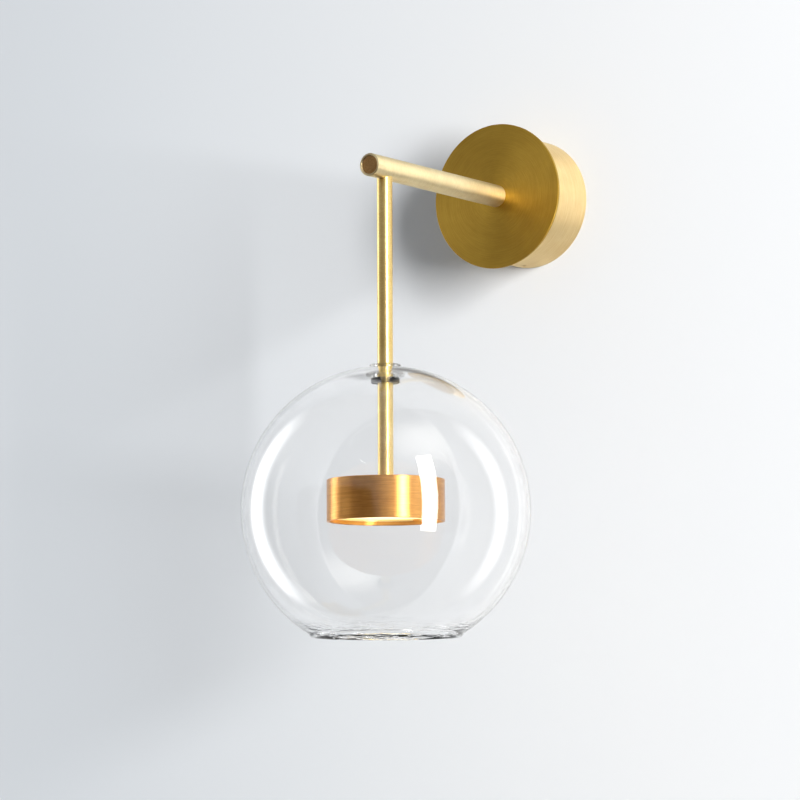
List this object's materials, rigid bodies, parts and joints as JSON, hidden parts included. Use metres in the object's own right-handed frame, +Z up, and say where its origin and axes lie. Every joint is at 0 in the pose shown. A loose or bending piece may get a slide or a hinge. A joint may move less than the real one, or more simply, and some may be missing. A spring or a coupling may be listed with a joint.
{
  "type": "globe wall sconce",
  "caption": "Wall light with a round canopy, a straight arm and a drop rod that carries a clear open glass globe round a flat round lamp head.",
  "frame": {"origin": "centre of the cable hole in the wall bracket, on the wall plane", "axes": "+Y into the wall, +Z up, +X to the right as the fitting is seen from the room"},
  "size_m": [0.2, 0.294, 0.3786],
  "materials": {
    "satin_brass": "satin",
    "turned_brass": "turned",
    "plain_brass": "as machined",
    "zinc_plated_steel": "zinc plated",
    "spring_steel": "blued",
    "black_rubber": "moulded, glossy",
    "clear_silicone": "clear, moulded",
    "clear_glass": "blown, fire-polished lip",
    "cast_aluminium": "machined",
    "white_board": "solder mask",
    "led_phosphor": "silicone dome",
    "white_plastic": "moulded",
    "opal_acrylic": "satin opal",
    "black_plastic": "moulded",
    "board_green": "solder mask",
    "transformer_tape": "wound tape",
    "capacitor_sleeve": "shrink sleeve",
    "tinned_copper": "tinned",
    "green_yellow_pvc": "extruded",
    "brown_pvc": "extruded",
    "blue_pvc": "extruded",
    "white_silicone": "extruded"
  },
  "bodies": {
    "fixture": {"wall_bracket": "zinc_plated_steel", "canopy_drum": "satin_brass", "canopy_grub_screws": "plain_brass", "front_disc": "satin_brass", "arm_tube": "satin_brass", "arm_rear_bush": "plain_brass", "arm_nipple": "zinc_plated_steel", "arm_lock_washer": "zinc_plated_steel", "arm_lock_nut": "zinc_plated_steel", "elbow_block": "plain_brass", "arm_end_cap": "turned_brass", "drop_rod": "satin_brass", "rod_upper_nipple": "zinc_plated_steel", "rod_lower_nipple": "zinc_plated_steel", "globe_clip": "spring_steel", "globe_stop_ring": "black_rubber", "head_housing": "satin_brass", "head_washer": "zinc_plated_steel", "head_lock_nut": "zinc_plated_steel", "heat_sink": "cast_aluminium", "heat_sink_screws": "zinc_plated_steel", "led_board": "white_board", "led_board_screws": "zinc_plated_steel", "led_chips": "led_phosphor", "led_connector": "white_plastic", "reflector_ring": "white_plastic", "diffuser": "opal_acrylic", "diffuser_ring": "satin_brass", "driver_case": "black_plastic", "driver_lid": "black_plastic", "driver_board": "board_green", "driver_transformer": "transformer_tape", "driver_capacitors": "capacitor_sleeve", "driver_screws": "zinc_plated_steel", "terminal_block": "white_plastic", "terminal_tubes": "plain_brass", "terminal_screws": "zinc_plated_steel", "terminal_block_screws": "zinc_plated_steel", "earth_screw": "zinc_plated_steel", "earth_lug": "tinned_copper", "earth_lead": "green_yellow_pvc", "live_lead": "brown_pvc", "neutral_lead": "blue_pvc", "led_cable": "white_silicone"},
    "globe_bush": {"globe_bush": "clear_silicone"},
    "globe": {"glass_globe": "clear_glass"}
  },
  "joints": [
    {"name": "globe_lift", "type": "slide", "parent": "fixture", "child": "globe_bush", "axis": [0, 0, 1], "range_m": [0, 0.129]},
    {"name": "globe_turn", "type": "hinge", "parent": "globe_bush", "child": "globe", "pos_m": [0, -0.194, -0.2385], "axis": [0, 0, 1], "continuous": true}
  ]
}
